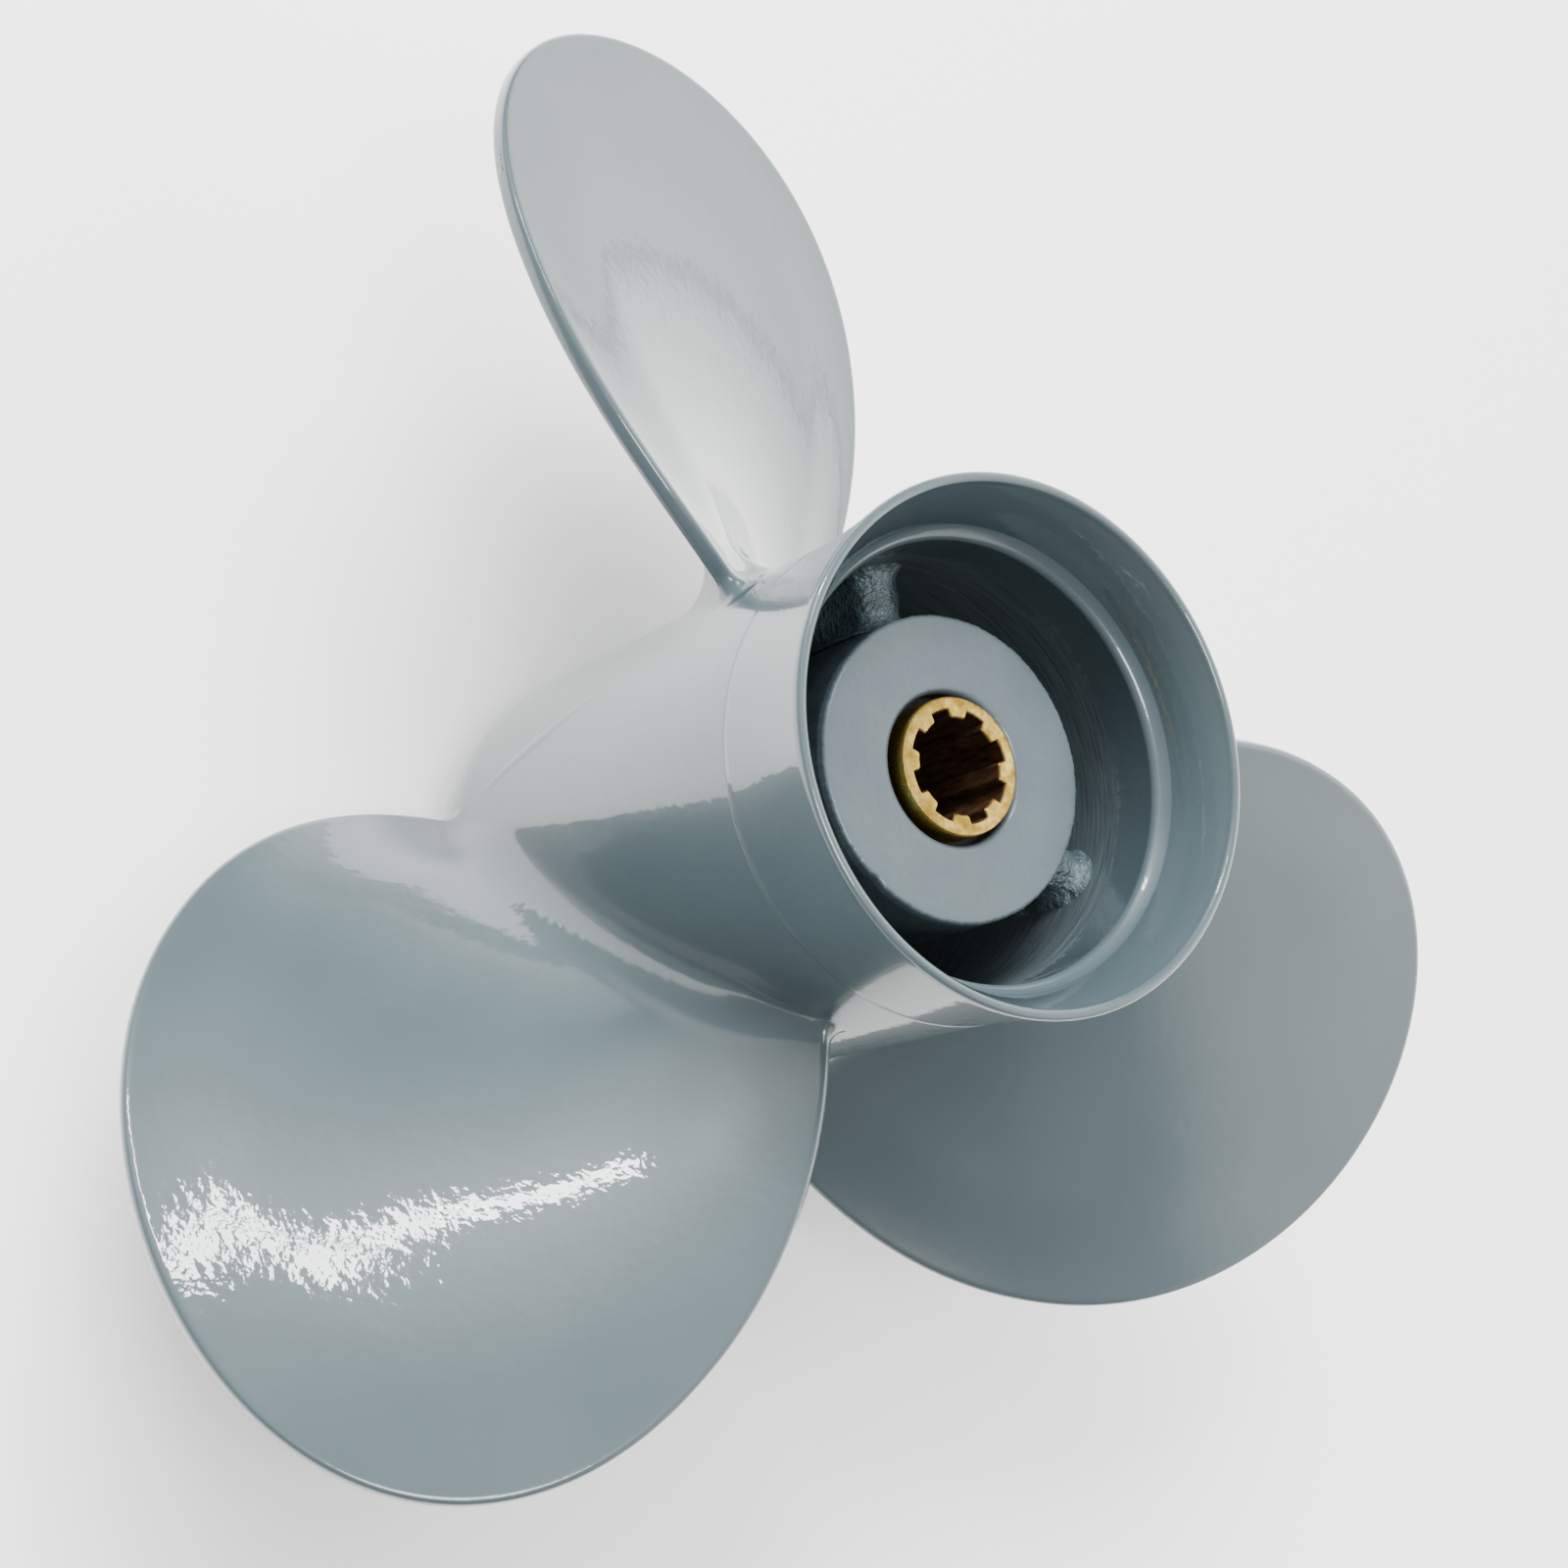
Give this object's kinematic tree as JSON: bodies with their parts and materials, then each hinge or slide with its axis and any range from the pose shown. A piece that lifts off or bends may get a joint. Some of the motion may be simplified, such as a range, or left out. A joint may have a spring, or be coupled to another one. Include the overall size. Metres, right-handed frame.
{
  "type": "boat propeller",
  "caption": "Outboard propeller: wide skewed blades on a through-hub exhaust barrel with a flared rim, and an inner hub with a slipping rubber-cushioned, splined brass drive sleeve.",
  "frame": {"origin": "centre of the hub's forward face, on the shaft axis", "axes": "+Z along the shaft axis towards the aft, exhaust end; +Y along the first blade's spine"},
  "size_m": [0.2141, 0.2006, 0.1103],
  "materials": {
    "painted_casting": "gloss blue-grey enamel over cast aluminium",
    "cushion_rubber": "matt black rubber",
    "sleeve_brass": "machined, lightly scratched"
  },
  "bodies": {
    "drive_bush": {"rubber_cushion": "cushion_rubber", "splined_sleeve": "sleeve_brass"},
    "casting": {"hub_barrel": "painted_casting", "inner_hub": "painted_casting", "rib_1": "painted_casting", "rib_2": "painted_casting", "rib_3": "painted_casting", "blade_1": "painted_casting", "blade_2": "painted_casting", "blade_3": "painted_casting"}
  },
  "joints": [
    {"name": "hub_slip", "type": "hinge", "parent": "drive_bush", "child": "casting", "pos_m": [0, 0, 0.055], "axis": [0, 0, 1], "continuous": true}
  ]
}
